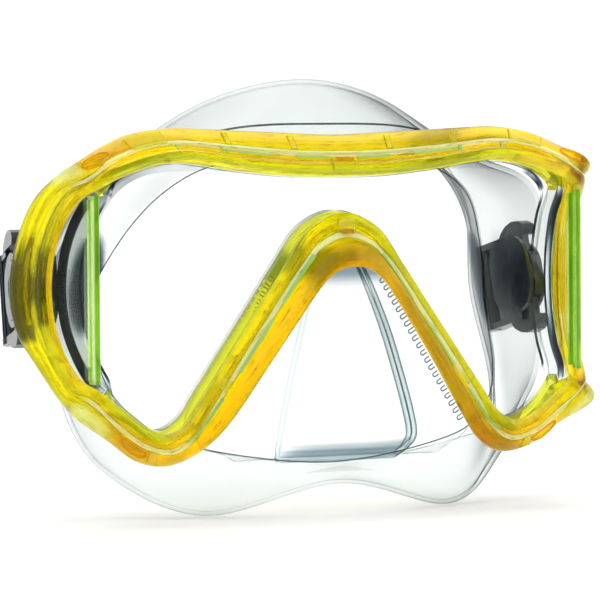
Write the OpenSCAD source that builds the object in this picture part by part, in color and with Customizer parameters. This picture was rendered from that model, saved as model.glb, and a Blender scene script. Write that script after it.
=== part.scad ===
// Three-window diving mask for snorkelling: glass lenses in a moulded frame, a silicone skirt with
// a nose pocket and a soft face seal, and a swivelling strap buckle with release tabs on each side.
// X runs across the mask, Y from the lens towards the face and Z up. The origin is the middle of
// the face opening, where a head holds the mask.

/* [Mask] */
// Distance from the front of the lens back to the middle of the face opening
lens_to_face = 30; // [28:1:34]
// Angle by which each side window sweeps back from the front lens
side_sweep = 76; // [74:1:78]
// Thickness of the tempered glass
glass_t = 3.2; // [2.8:0.2:3.2]
// Thickness of the firm silicone wall
skirt_t = 1.5; // [1.2:0.1:1.8]
// Radius of the round rear edge of each side window
side_r = 28.1; // [27.5:0.1:28.5]

/* [Frame] */
// Height of the front lip above the glass
lip_h = 2.8; // [2:0.1:3]
// Depth of the frame wall behind the front of the glass
wall_d = 7.6; // [7:0.1:8]

/* [Buckles] */
// Distance of each buckle pivot from the middle of the mask
buckle_x = 76.2; // [76:0.1:78]
// Distance of each buckle pivot behind the front of the lens
buckle_y = 42; // [42:0.5:44]
// Height of each buckle pivot
buckle_z = 3.5; // [3:0.5:6]
// Angle of each buckle, turned in to follow the head
buckle_yaw = 9; // [7:1:10]
// Angle by which each buckle's strap end hangs below its pivot
buckle_droop = 14; // [0:1:20]
// Length of the ribbed roller that the strap runs round
roller_l = 21.6; // [20:0.2:22]
// Travel of each release tab
tab_travel = 1.4; // [1:0.1:1.5]

/* [Hidden] */
$fn = 48;

// Half-width of the front window up to the bend, and the middle height of the side windows
bend_x = 75;
side_z = 4;
// Middle of the side window's round edge, measured back from the bend
side_c = 19.5 - side_r;

// ---- helpers ----
function cr(a, b, c, d, t) = 0.5 * (2 * b + (c - a) * t + (2 * a - 5 * b + 4 * c - d) * t * t
    + (3 * b - a - 3 * c + d) * t * t * t);
function flip(p) = [for (i = [0:len(p) - 1]) (i == 0 || i == 3) ? -p[i] : p[i]];
function both_halves(h) = concat(h, [for (i = [len(h) - 2:-1:1]) flip(h[i])]);
function closed_curve(c, n) = let (m = len(c)) [for (i = [0:m - 1]) for (k = [0:n - 1])
    cr(c[(i + m - 1) % m], c[i], c[(i + 1) % m], c[(i + 2) % m], k / n)];
function unit(v) = v / norm(v);
function xyz(p) = [p[0], p[1], p[2]];

// A closed tube through rings of points: every ring has the same number of points
function tube_faces(rings, pts) = [for (r = [0:rings - 1]) for (i = [0:pts - 1])
    let (a = r * pts + i, b = r * pts + (i + 1) % pts,
         c = ((r + 1) % rings) * pts + i, d = ((r + 1) % rings) * pts + (i + 1) % pts)
    each [[a, b, d], [a, d, c]]];

// ---- window edge and frame edge, right half, from the top middle round to the nose ----
// each inner point is [x, y, z, turn of the window's face]
side_dir = [cos(side_sweep), sin(side_sweep), 0];
function side_inner(a, turn) = concat(
    [bend_x, 0, side_z] + side_dir * (side_c + side_r * cos(a)) + [0, 0, side_r * sin(a)], [turn]);
function side_outer(p) = [bend_x + p[2], 0, p[1]] + side_dir * p[0];
side_edge = [[14.6, 35.5, 0.4], [24.6, 28.4, 1.2], [31.4, 16.8, 2], [34.3, 3.5, 2.4],
    [31.4, -8.2, 2], [23.8, -17, 1.2], [13.6, -27, 0.4]];
inner_half = concat(
    [[0, 0, 34.5, 0], [14, 0, 34.8, 0], [29, 0, 36.3, 0], [40, 0, 37.9, 0], [48, 0, 38.7, 0],
     [57, 0, 37.8, 0], [66, 0, 35, 10], [72.8, 0.4, 31.6, 38]],
    [side_inner(60, 66)], [for (a = [40:-20:-40]) side_inner(a, side_sweep)], [side_inner(-60, 66)],
    [[72.8, 0.4, -23.4, 38], [67, 0, -28, 10], [60, 0, -33.3, 0], [53.5, 0, -35.3, 0],
     [47.5, 0, -32, 0], [42.5, 0, -25, 0], [34, 0, -13, 0], [25.6, 0, -1, 0], [18, 0, 10, 0],
     [10.5, 0, 20, 0], [0, 0, 24.4, 0]]);
outer_half = concat(
    [[0, 6, 46], [15, 6, 46.6], [30, 6, 47.3], [42, 6, 47.9], [51, 6.5, 48], [62, 7, 46.3],
     [70.5, 6, 42.8], [78.6, 3.6, 38.6]],
    [for (p = side_edge) side_outer(p)],
    [[79, 1.6, -31], [69.5, 4, -37.2], [61, 5, -43], [52, 5, -44.7], [43.5, 2, -41], [36, -2, -33],
     [25.5, -5, -17.5], [16.5, -6.5, -4.5], [9.5, -7.5, 5], [4.5, -7.7, 8.6], [0, -7.7, 9.3]]);
inner_edge = closed_curve(both_halves(inner_half), 2);
outer_edge = closed_curve(both_halves(outer_half), 2);

// One point of the frame's section: part of the width, then mm across it, then mm in front of
// the glass. The lip stays in the plane of the glass, and the flange beyond it runs to the edge.
function frame_point(i, part, mm, front) =
    let (p = xyz(inner_edge[i]), turn = inner_edge[i][3], n = [sin(turn), -cos(turn), 0],
         o = outer_edge[i] - p, q = o * n, across = o - q * n,
         f = part + mm / norm(across), rise = max(0, (f - 0.28) / 0.72))
    p + across * f + n * (q * rise + front);
module frame_ring(section) {
    points = [for (i = [0:len(inner_edge) - 1]) for (s = section) frame_point(i, s[0], s[1], s[2])];
    polyhedron(points, tube_faces(len(inner_edge), len(section)), convexity = 8);
}
module at_lens() { translate([0, -lens_to_face, 0]) children(); }
module mirrored_if(left) { if (left) mirror([1, 0, 0]) children(); else children(); }
// A flat plate drawn in X and Z, between two depths
module plate(y0, y1) { translate([0, y1, 0]) rotate([90, 0, 0]) linear_extrude(y1 - y0) children(); }

// ---- lenses ----
lens_lap = 2;
function lens_edge_at(i) = let (p = frame_point(i, 0, lens_lap, 0)) [p[0], p[2]];
front_top = [for (i = [0:10]) lens_edge_at(i)];
front_low = [for (i = [34:50]) lens_edge_at(i)];
lens_half = concat(front_top, [[66, 36], [72.8, 32.3], [74.4, 30.6], [74.4, -22.4], [72.8, -24.1],
    [67, -29]], front_low);
module front_lens() {
    color([0.9, 0.95, 0.93, 0.3]) at_lens() plate(0, glass_t)
        polygon(concat(lens_half, [for (i = [len(lens_half) - 2:-1:1]) [-lens_half[i][0], lens_half[i][1]]]));
}
module side_lens(left) {
    side_start = 3.7;
    color([0.9, 0.95, 0.93, 0.3]) mirrored_if(left) at_lens() translate([bend_x, 0, side_z])
        rotate([0, 0, side_sweep]) intersection() {
            translate([side_c, 0, 0]) rotate([-90, 0, 0]) cylinder(r = side_r + lens_lap, h = glass_t);
            translate([side_start, -1, -40]) cube([60, glass_t + 2, 80]);
        }
}
module divider(left) {
    color([0.55, 0.8, 0.15, 0.9]) mirrored_if(left) at_lens() {
        translate([0, 0, -21.4]) linear_extrude(51.2)
            polygon([[73.4, -0.1], [73.4, -0.8], [75.1, -0.8], [75.1, glass_t + 0.1],
                [74.6, glass_t + 0.1], [74.6, -0.1]]);
        translate([0, 0, -20.6]) linear_extrude(49.4)
            polygon([[75, -0.8], [76.4, 3.2], [75.8, 3.3], [72.8, 4], [72.8, glass_t + 0.1],
                [75, glass_t + 0.1]]);
    }
}

// ---- frame ----
module outer_frame() {
    color([1, 0.87, 0.05, 0.85]) at_lens()
        frame_ring([[0, 0, 0.05], [0, 0, 1.2], [0, 1.2, lip_h], [0, 3.2, lip_h + 0.1],
            [0, 4.2, 1.7], [0.52, 0, 1.9], [0.58, 0, 3], [1, -1.2, 2.4], [1, 0, 1], [1, 0, -0.6],
            [1, -1.5, -1.6], [0, 6.2, -2.2], [0, 4.7, -4], [0, 4.7, -wall_d], [0, 2.7, -wall_d],
            [0, 2.7, 0.05]]);
}
module inner_frame() {
    front = -glass_t - 1.75;
    color([0.93, 0.93, 0.35, 0.8]) at_lens()
        frame_ring([[0, -0.3, front], [0, 2.3, front], [0, 2.3, -wall_d], [0, -0.3, -wall_d]]);
}

// ---- skirt: rings of control points, right half, from the top middle to the bottom middle ----
skirt_front = [[0, 8.6, 35], [30, 8.6, 36.5], [56, 9, 36.5], [68.6, 11, 26], [71, 20, 4],
    [69, 12, -17], [61, 9, -32], [45, 9.9, -40], [0, 5.5, -45]];
skirt_mid = [[0, 13, 49], [28, 14, 47.7], [50, 22, 40.5], [67.5, 32, 26], [71, 38, 3],
    [70, 31, -21], [63.5, 20, -41], [42, 10, -50], [0, 1, -47]];
skirt_crest = [[0, 27, 61], [27, 31, 55.3], [48, 38, 41], [61, 44, 25], [68.4, 54, 0],
    [68.5, 41, -27], [61, 29, -47], [38.5, 11, -59.5], [0, 3, -51.5]];
seal_mid = [[0, 22.5, 50.5], [28, 25, 46], [46, 29.5, 34.5], [57.8, 37, 20], [65, 45.5, -1],
    [64, 34, -23.5], [58, 25.5, -39], [39, 15, -49.5], [0, 9, -48.5]];
seal_edge = [[0, 13.5, 39], [29, 14.5, 38.5], [47, 17.5, 30], [57.6, 28, 14], [62.5, 35, -3],
    [61.3, 27.5, -21], [55, 20.5, -32], [40, 14.5, -40.5], [0, 10, -46]];
front_ring = closed_curve(both_halves(skirt_front), 5);
mid_ring = closed_curve(both_halves(skirt_mid), 5);
crest = closed_curve(both_halves(skirt_crest), 5);
seal_ring = closed_curve(both_halves(seal_mid), 5);
edge_ring = closed_curve(both_halves(seal_edge), 5);
around = len(crest);
// The fold at the crest is round, so that the wall and the seal stay apart
fold_r = 2.1;
function fold(side) = [for (i = [0:around - 1])
    let (out = unit(crest[i] - (mid_ring[i] + seal_ring[i]) / 2), d = mid_ring[i] - seal_ring[i])
    crest[i] - fold_r * out + side * fold_r * unit(d - (d * out) * out)];
control_rings = [front_ring, mid_ring, fold(1), crest, fold(-1), seal_ring, edge_ring];
ring_steps = 2;
function ring_point(k, i) = let (s = floor(k / ring_steps), t = k / ring_steps - s,
    r = function (j) control_rings[max(0, min(6, j))][i]) cr(r(s - 1), r(s), r(s + 1), r(s + 2), t);
ring_count = 6 * ring_steps + 1;
crest_ring = 3 * ring_steps;
skirt_grid = [for (k = [0:ring_count - 1]) [for (i = [0:around - 1]) ring_point(k, i)]];
function skirt_normal(k, i) = unit(cross(
    skirt_grid[k][(i + 1) % around] - skirt_grid[k][(i + around - 1) % around],
    skirt_grid[min(ring_count - 1, k + 1)][i] - skirt_grid[max(0, k - 1)][i]));
// The wall thins towards the edge of the seal
function wall_at(k) = k <= ring_steps ? skirt_t
    : skirt_t - (skirt_t - 0.7) * (k - ring_steps) / (ring_count - 1 - ring_steps);
// A closed band of the skirt between two rings
module skirt_band(k0, k1) {
    rings = concat([for (k = [k0:k1]) [for (i = [0:around - 1])
            skirt_grid[k][i] - wall_at(k) * skirt_normal(k, i)]],
        [for (k = [k1:-1:k0]) skirt_grid[k]]);
    polyhedron([for (r = rings) each r], tube_faces(len(rings), around), convexity = 8);
}
module skirt_body() {
    color([0.9, 0.93, 0.95, 0.35]) at_lens() {
        skirt_band(0, crest_ring);
        flange = -glass_t - 0.5;
        frame_ring([[0, -1.6, flange], [0, 2.2, flange], [0, 2.2, flange - 1.1],
            [0, -0.5, flange - 1.1], [0, -0.5, -9], [0, -1.6, -9]]);
    }
}
module face_seal() {
    color([0.93, 0.95, 0.97, 0.35]) at_lens() skirt_band(crest_ring, ring_count - 1);
}

// ---- nose pocket: rows from the bridge down to the upper lip ----
// each row is [height, half-width of the panel, half-width of the pocket, depth of the front, rim depth]
pocket_rows = [[21.5, 3.5, 1.5, 9.3, 9.4], [19.4, 7, 2.5, 8.6, 9.4], [15.5, 12, 4, 5, 9.4],
    [10, 17.4, 6, 1.4, 9.4], [3, 22.4, 8.5, -2, 9.4], [-8, 30, 12, -5.5, 9.4],
    [-20, 38.4, 15.5, -7, 9.4], [-32, 45, 18.5, -8.2, 9.2], [-38, 42.5, 19.5, -7.4, 8.4],
    [-41, 38.5, 19, -2.5, 7.4], [-42.6, 34, 18.2, 1.5, 6.6], [-44, 31, 17.5, 5, 6.6]];
pocket_t = 1.4;
pocket_fine = 2;
function pocket_row(v) = let (n = len(pocket_rows), i = floor(v), t = v - i,
    r = function (j) pocket_rows[max(0, min(n - 1, j))]) cr(r(i - 1), r(i), r(i + 1), r(i + 2), t);
function pocket_half(r) = [[0, r[3], r[0]], [r[2] * 0.6, r[3] + 0.4, r[0]],
    [r[2] * 0.98, r[3] + 0.22 * (r[4] - r[3]), r[0]],
    [r[2] + 0.12 * (r[1] - r[2]), r[3] + 0.62 * (r[4] - r[3]), r[0]],
    [r[2] + 0.45 * (r[1] - r[2]), r[4] - 0.9, r[0]], [r[1], r[4], r[0]]];
function across_row(r) = let (h = pocket_half(r), n = len(h),
    c = concat([for (i = [n - 1:-1:1]) flip(h[i])], h), m = len(c))
    concat([for (i = [0:m - 2]) for (k = [0:1])
        cr(c[max(0, i - 1)], c[i], c[i + 1], c[min(m - 1, i + 2)], k / 2)], [c[m - 1]]);
pocket_grid = [for (v = [0:1 / pocket_fine:len(pocket_rows) - 1]) across_row(pocket_row(v))];
function pocket_normal(a, b) = let (na = len(pocket_grid), nb = len(pocket_grid[0])) unit(cross(
    pocket_grid[a][min(nb - 1, b + 1)] - pocket_grid[a][max(0, b - 1)],
    pocket_grid[min(na - 1, a + 1)][b] - pocket_grid[max(0, a - 1)][b]));
module nose_pocket() {
    na = len(pocket_grid);
    nb = len(pocket_grid[0]);
    front = [for (a = [0:na - 1]) for (b = [0:nb - 1]) pocket_grid[a][b]];
    back = [for (a = [0:na - 1]) for (b = [0:nb - 1])
        pocket_grid[a][b] - pocket_t * pocket_normal(a, b)];
    m = na * nb;
    face_pairs = [for (a = [0:na - 2]) for (b = [0:nb - 2]) let (p = a * nb + b)
        each [[p, p + nb + 1, p + 1], [p, p + nb, p + nb + 1],
            [m + p, m + p + 1, m + p + nb + 1], [m + p, m + p + nb + 1, m + p + nb]]];
    edge = concat([for (b = [0:nb - 1]) b], [for (a = [1:na - 1]) a * nb + nb - 1],
        [for (b = [nb - 2:-1:0]) (na - 1) * nb + b], [for (a = [na - 2:-1:1]) a * nb]);
    rim = [for (i = [0:len(edge) - 1]) let (p = edge[i], q = edge[(i + 1) % len(edge)])
        each [[p, q, m + p], [q, m + q, m + p]]];
    color([0.9, 0.93, 0.95, 0.35]) at_lens()
        polyhedron([each front, each back], concat(face_pairs, rim), convexity = 8);
}

// ---- buckles, in their own directions: X out from the head, Y along the strap, Z up ----
smoke = [0.2, 0.24, 0.28, 0.9];
pin_r = 1.77;
bore_clear = 0.05;
hub_r = 5;
// The strap roller and the two arms that carry its pin
roller_y = 16;
roller_x = 3.3;
roller_r = 2.8;
roller_pin_r = 1.25;
arm_z = 11;
arm_t = 1.8;
arm_front = 7.9;
// Gap between the roller and the buckle's cross bar, for the strap
strap_gap = 3;
// The cover's oval lies on the hub, with a crescent wall under its front edge
cover_x = 4.7;
cover_y = 1.6;
cover_w = 17;
cover_h = 21;
guide_z = 6.5;
tab_low = 5.6 + tab_travel;
wing_low = tab_low + 5;
spring_x = 3.35;
spring_y = 6.4;
module at_buckle(left) {
    mirrored_if(left) at_lens() translate([buckle_x, buckle_y, buckle_z]) rotate([0, 0, buckle_yaw])
        rotate([-buckle_droop, 0, 0]) children();
}
module rounded(w, h, r) {
    square([w - 2 * r, h], center = true);
    square([w, h - 2 * r], center = true);
    for (x = [-1, 1], y = [-1, 1]) translate([x * (w / 2 - r), y * (h / 2 - r)]) circle(r);
}
// A plate facing outwards, with its middle at [y, z]
module side_plate(x0, x1, y, z, w, h, r) {
    translate([x0, y, z]) rotate([90, 0, 90]) linear_extrude(x1 - x0) rounded(w, h, r);
}
module out_cylinder(x0, x1, r) { translate([x0, 0, 0]) rotate([0, 90, 0]) cylinder(r = r, h = x1 - x0); }
// The mount's oval foot lies on the skirt, and its scalloped boss carries the buckle
foot = [-4.3, -3.1];
module buckle_mount(left) {
    lobes = 10;
    washer_r = 4.4;
    washer = [foot[1] - 0.1, foot[1] + 0.9];
    boss_r = 3.6;
    boss_top = 0.6;
    color(smoke) at_buckle(left) difference() {
        union() {
            side_plate(foot[0], foot[1], -3.6, 0, 18.2, 23, 8);
            out_cylinder(washer[0], washer[1], washer_r);
            for (i = [0:lobes - 1]) rotate([360 * i / lobes, 0, 0]) translate([0, washer_r, 0])
                out_cylinder(washer[0], washer[1], 0.9);
            out_cylinder(foot[1] - 0.1, boss_top, boss_r);
        }
        out_cylinder(foot[0] - 1, boss_top + 1, pin_r + 0.03);
    }
}
module pivot_pin(left) {
    head = [4.75, 5.6];
    head_r = 3.4;
    color([0.32, 0.36, 0.4]) at_buckle(left) {
        out_cylinder(foot[0], head[0] + 0.1, pin_r);
        out_cylinder(head[0], head[1], head_r);
    }
}
module buckle_body(left) {
    base = [0.8, 2];
    base_t = base[1] - base[0];
    hub_foot_r = 7;
    eye_r = 2.9;
    bar_r = 1.1;
    bar_y = roller_y - roller_r - strap_gap - bar_r;
    stop_w = 2.8;
    hole_r = 1.5;
    color(smoke) at_buckle(left) difference() {
        union() {
            out_cylinder(base[0], base[1], hub_foot_r);
            out_cylinder(base[0], cover_x, hub_r);
            translate([base[0], 0, -arm_z - arm_t]) cube([base_t, arm_front + 1, 2 * (arm_z + arm_t)]);
            translate([base[0], spring_y - stop_w / 2, -1]) cube([cover_x - base[0] - 0.2, stop_w, 2]);
            for (s = [-1, 1]) translate([0, 0, s * (arm_z + arm_t / 2) - arm_t / 2]) {
                translate([base[0], arm_front, 0]) cube([4.8, roller_y - arm_front, arm_t]);
                translate([roller_x, roller_y, 0]) cylinder(r = eye_r, h = arm_t);
            }
            translate([base[0] + bar_r, bar_y, -arm_z - 0.1]) cylinder(r = bar_r, h = 2 * arm_z + 0.2);
        }
        out_cylinder(0, cover_x + 1, pin_r + bore_clear);
        translate([roller_x, roller_y, -20]) cylinder(r = roller_pin_r + 0.02, h = 40);
        for (s = [-1, 1]) translate([0, spring_y - 1.1, s * tab_low]) rotate([0, 90, 0])
            cylinder(r = hole_r, h = base[1] + 0.1);
    }
}
module buckle_cover(left) {
    plate_t = 1.1;
    crown_t = 0.6;
    wall_t = 1;
    wall_x = 2.2;
    r = 7.9;
    color(smoke) at_buckle(left) difference() {
        union() {
            side_plate(cover_x, cover_x + plate_t, cover_y, 0, cover_w, cover_h, r);
            side_plate(cover_x + plate_t - 0.1, cover_x + plate_t + crown_t - 0.1, cover_y, 0,
                cover_w - 3, cover_h - 4, r - 1.5);
            intersection() {
                difference() {
                    side_plate(wall_x, cover_x + 0.1, cover_y, 0, cover_w, cover_h, r);
                    side_plate(wall_x - 1, cover_x + 1, cover_y, 0, cover_w - 2 * wall_t,
                        cover_h - 2 * wall_t, r - wall_t);
                }
                translate([0, -20, -guide_z]) cube([cover_x + 1, 20, 2 * guide_z]);
            }
        }
        out_cylinder(cover_x - 1, cover_x + 3, 4);
    }
}
module release_tab(left, low) {
    tab_x = 2.2;
    tab_t = 2.3;
    wing_t = 4.2;
    color(smoke) at_buckle(left) mirror([0, 0, low ? 1 : 0]) {
        translate([tab_x, -4.2, tab_low]) cube([tab_t, 11.6, wing_low - tab_low + 0.4]);
        translate([tab_x, 0, wing_low]) rotate([90, 0, 90]) linear_extrude(wing_t)
            polygon([[-4.6, 0], [-5.4, 1.6], [-4.8, 3.2], [-2.8, 4.4], [0.4, 4.8], [3.6, 4],
                [6.2, 2.4], [7.4, 0.8], [7.4, 0]]);
    }
}
module tab_spring(left, low) {
    turns = 5;
    per_turn = 10;
    wire = 0.26;
    coil_r = 0.95;
    from = 1 + wire + 0.02;
    to = tab_low - wire - 0.05;
    n = turns * per_turn;
    path = [for (i = [0:n]) [coil_r * cos(360 * i / per_turn), coil_r * sin(360 * i / per_turn),
        from + (to - from) * i / n]];
    points = [for (i = [0:n]) for (k = [0:5]) let (a = 360 * i / per_turn)
        path[i] + wire * [cos(60 * k) * cos(a), cos(60 * k) * sin(a), sin(60 * k)]];
    sides = [for (i = [0:n - 1]) for (k = [0:5]) let (p = i * 6 + k, q = i * 6 + (k + 1) % 6)
        each [[p, p + 6, q + 6], [p, q + 6, q]]];
    color([0.75, 0.77, 0.8]) at_buckle(left) mirror([0, 0, low ? 1 : 0]) translate([spring_x, spring_y, 0])
        polyhedron(points, concat(sides, [[for (k = [0:5]) k], [for (k = [5:-1:0]) n * 6 + k]]));
}
module strap_roller(left) {
    ribs = 12;
    color(smoke) at_buckle(left) translate([roller_x, roller_y, -roller_l / 2]) difference() {
        union() {
            cylinder(r = roller_r - 0.45, h = roller_l);
            for (i = [0:ribs - 1]) rotate([0, 0, 360 * i / ribs]) translate([roller_r - 0.8, -0.35, 0])
                cube([0.75, 0.7, roller_l]);
        }
        translate([0, 0, -1]) cylinder(r = roller_pin_r + bore_clear, h = roller_l + 2);
    }
}
module roller_pin(left) {
    color([0.75, 0.77, 0.8]) at_buckle(left) translate([roller_x, roller_y, -arm_z - arm_t - 0.2])
        cylinder(r = roller_pin_r, h = 2 * (arm_z + arm_t + 0.2));
}

front_lens();
side_lens(true);  // left_side_lens
side_lens(false);  // right_side_lens
divider(true);  // left_divider
divider(false);  // right_divider
outer_frame();
inner_frame();
skirt_body();
nose_pocket();
face_seal();
buckle_mount(true);  // left_buckle_mount
pivot_pin(true);  // left_pivot_pin
buckle_body(true);  // left_buckle_body
buckle_cover(true);  // left_buckle_cover
release_tab(true, false);  // left_upper_tab
release_tab(true, true);  // left_lower_tab
tab_spring(true, false);  // left_upper_spring
tab_spring(true, true);  // left_lower_spring
strap_roller(true);  // left_strap_roller
roller_pin(true);  // left_roller_pin
buckle_mount(false);  // right_buckle_mount
pivot_pin(false);  // right_pivot_pin
buckle_body(false);  // right_buckle_body
buckle_cover(false);  // right_buckle_cover
release_tab(false, false);  // right_upper_tab
release_tab(false, true);  // right_lower_tab
tab_spring(false, false);  // right_upper_spring
tab_spring(false, true);  // right_lower_spring
strap_roller(false);  // right_strap_roller
roller_pin(false);  // right_roller_pin
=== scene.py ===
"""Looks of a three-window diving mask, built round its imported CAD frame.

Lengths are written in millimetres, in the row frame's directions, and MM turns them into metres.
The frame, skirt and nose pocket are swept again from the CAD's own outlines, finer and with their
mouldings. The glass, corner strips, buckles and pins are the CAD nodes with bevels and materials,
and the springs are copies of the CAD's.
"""

import math

import bpy
import numpy as np
from mathutils import Matrix, Vector

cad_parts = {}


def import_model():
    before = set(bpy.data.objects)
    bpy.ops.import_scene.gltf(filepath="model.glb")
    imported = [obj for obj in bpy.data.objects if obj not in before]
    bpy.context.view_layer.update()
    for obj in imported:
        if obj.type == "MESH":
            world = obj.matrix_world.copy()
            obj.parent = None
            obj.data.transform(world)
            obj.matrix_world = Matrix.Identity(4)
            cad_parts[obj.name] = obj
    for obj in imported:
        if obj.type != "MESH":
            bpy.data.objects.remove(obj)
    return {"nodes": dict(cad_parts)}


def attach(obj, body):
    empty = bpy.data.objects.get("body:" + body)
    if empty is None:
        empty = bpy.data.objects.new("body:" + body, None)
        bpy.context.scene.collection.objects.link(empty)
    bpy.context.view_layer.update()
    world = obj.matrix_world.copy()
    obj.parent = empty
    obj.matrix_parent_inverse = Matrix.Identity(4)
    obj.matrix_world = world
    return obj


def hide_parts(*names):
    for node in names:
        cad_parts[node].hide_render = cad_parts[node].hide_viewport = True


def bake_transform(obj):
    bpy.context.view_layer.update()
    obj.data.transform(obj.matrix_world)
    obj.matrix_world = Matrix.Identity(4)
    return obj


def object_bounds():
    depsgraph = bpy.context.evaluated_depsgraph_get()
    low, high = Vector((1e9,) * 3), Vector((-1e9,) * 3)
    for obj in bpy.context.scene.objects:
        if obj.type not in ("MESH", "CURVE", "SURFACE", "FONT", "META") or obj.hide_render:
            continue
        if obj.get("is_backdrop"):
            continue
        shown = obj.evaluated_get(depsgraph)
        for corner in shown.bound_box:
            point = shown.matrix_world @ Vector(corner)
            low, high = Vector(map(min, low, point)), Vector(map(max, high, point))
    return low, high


MM = 0.001
# The front of the glass is this far in front of the frame's origin
LENS_TO_FACE = 30.0
GLASS_T = 3.2
# The side windows: swept back from the bend, each ending in an arc of that radius and centre
SIDE_SWEEP = math.radians(76)
SIDE_R = 28.1
BEND_X = 75.0
SIDE_Z = 4.0
SIDE_C = 19.5 - SIDE_R
SIDES = {"left": -1, "right": 1}

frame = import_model()
box_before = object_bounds()


# ---- curves ----
def spline(points, steps, closed=True):
    """A smooth curve through rows of numbers, with that many steps from each point to the next."""
    p = np.asarray(points, float)
    n = len(p)
    last = n if closed else n - 1

    def at(i):
        return p[i % n] if closed else p[min(max(i, 0), n - 1)]

    out = []
    for i in range(last):
        a, b, c, d = at(i - 1), at(i), at(i + 1), at(i + 2)
        for k in range(steps):
            t = k / steps
            out.append(0.5 * (2 * b + (c - a) * t + (2 * a - 5 * b + 4 * c - d) * t * t
                              + (3 * b - a - 3 * c + d) * t ** 3))
    if not closed:
        out.append(p[-1])
    return np.array(out)


def mirrored(row):
    """The row on the other side of the mask: X and the turn change sign."""
    row = list(row)
    for i in (0, 3):
        if i < len(row):
            row[i] = -row[i]
    return row


def both_halves(half):
    return [list(r) for r in half] + [mirrored(r) for r in half[-2:0:-1]]


def unit(v):
    v = np.asarray(v, float)
    return v / np.maximum(np.linalg.norm(v, axis=-1, keepdims=True), 1e-12)


# ---- outlines of the window and of the frame, right half, top middle round to the nose ----
SIDE_DIR = np.array([math.cos(SIDE_SWEEP), math.sin(SIDE_SWEEP), 0])


def side_inner(angle, turn):
    a = math.radians(angle)
    p = np.array([BEND_X, 0, SIDE_Z]) + SIDE_DIR * (SIDE_C + SIDE_R * math.cos(a))
    return [p[0], p[1], p[2] + SIDE_R * math.sin(a), turn]


def side_outer(s, z, flare):
    p = SIDE_DIR * s
    return [BEND_X + flare + p[0], p[1], z]


SWEEP = math.degrees(SIDE_SWEEP)
INNER_HALF = (
    [[0, 0, 34.5, 0], [14, 0, 34.8, 0], [29, 0, 36.3, 0], [40, 0, 37.9, 0], [48, 0, 38.7, 0],
     [57, 0, 37.8, 0], [66, 0, 35, 10], [72.8, 0.4, 31.6, 38]]
    + [side_inner(60, 66)] + [side_inner(a, SWEEP) for a in (40, 20, 0, -20, -40)]
    + [side_inner(-60, 66)]
    + [[72.8, 0.4, -23.4, 38], [67, 0, -28, 10], [60, 0, -33.3, 0], [53.5, 0, -35.3, 0],
       [47.5, 0, -32, 0], [42.5, 0, -25, 0], [34, 0, -13, 0], [25.6, 0, -1, 0], [18, 0, 10, 0],
       [10.5, 0, 20, 0], [0, 0, 24.4, 0]])
OUTER_HALF = (
    [[0, 6, 46], [15, 6, 46.6], [30, 6, 47.3], [42, 6, 47.9], [51, 6.5, 48], [62, 7, 46.3],
     [70.5, 6, 42.8], [78.6, 3.6, 38.6]]
    + [side_outer(*p) for p in ((14.6, 35.5, 0.4), (24.6, 28.4, 1.2), (31.4, 16.8, 2),
                                (34.3, 3.5, 2.4), (31.4, -8.2, 2), (23.8, -17, 1.2),
                                (13.6, -27, 0.4))]
    + [[79, 1.6, -31], [69.5, 4, -37.2], [61, 5, -43], [52, 5, -44.7], [43.5, 2, -41],
       [36, -2, -33], [25.5, -5, -17.5], [16.5, -6.5, -4.5], [9.5, -7.5, 5], [4.5, -7.7, 8.6],
       [0, -7.7, 9.3]])
EDGE_STEPS = 10
INNER = spline(both_halves(INNER_HALF), EDGE_STEPS)
OUTER = spline(both_halves(OUTER_HALF), EDGE_STEPS)
EDGE_N = len(INNER)
# Stations count from the top middle, up to HALF_TURN at the nose and down to it on the other side
HALF_TURN = EDGE_N / 2 / EDGE_STEPS
STATION = HALF_TURN - np.abs(np.arange(EDGE_N) / EDGE_STEPS - HALF_TURN)
# The stretch beside a side window, and how far from its middle the mouldings there are full
SIDE_START = 7.6
SIDE_MIDDLE = 11.3
SIDE_STOP = 15
SIDE_HALF = 3.1
SIDE_SOFT = 0.8
# Where the outer edge begins to rise to its own depth, as a part of the frame's width
RISE_START = 0.28


def bell(value, middle, half, soft):
    """1 within half of the middle, falling to 0 over the next soft."""
    t = np.clip((half + soft - np.abs(value - middle)) / soft, 0, 1)
    return t * t * (3 - 2 * t)


def frame_points(part, mm, front):
    """All round the frame: part of its width, then mm across it, then mm in front of the glass."""
    p, turn = INNER[:, :3], np.radians(INNER[:, 3])
    n = np.stack([np.sin(turn), -np.cos(turn), np.zeros(EDGE_N)], 1)
    o = OUTER[:, :3] - p
    q = (o * n).sum(1, keepdims=True)
    across = o - q * n
    f = part + mm / np.linalg.norm(across, axis=1, keepdims=True)
    rise = np.maximum(0, (f - RISE_START) / (1 - RISE_START))
    return p + across * f + n * (q * rise + front)


def at_stations(ring, stations):
    """Points of an all-round row at one or more stations, negative on the other side."""
    place = np.asarray(stations, float) * EDGE_STEPS
    low = np.floor(place).astype(int)
    share = (place - low)[..., None]
    return ring[low % EDGE_N] * (1 - share) + ring[(low + 1) % EDGE_N] * share


# ---- meshes ----
def lens_to_row(points):
    p = np.array(points, float)
    p[..., 1] -= LENS_TO_FACE
    return p * MM


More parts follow.
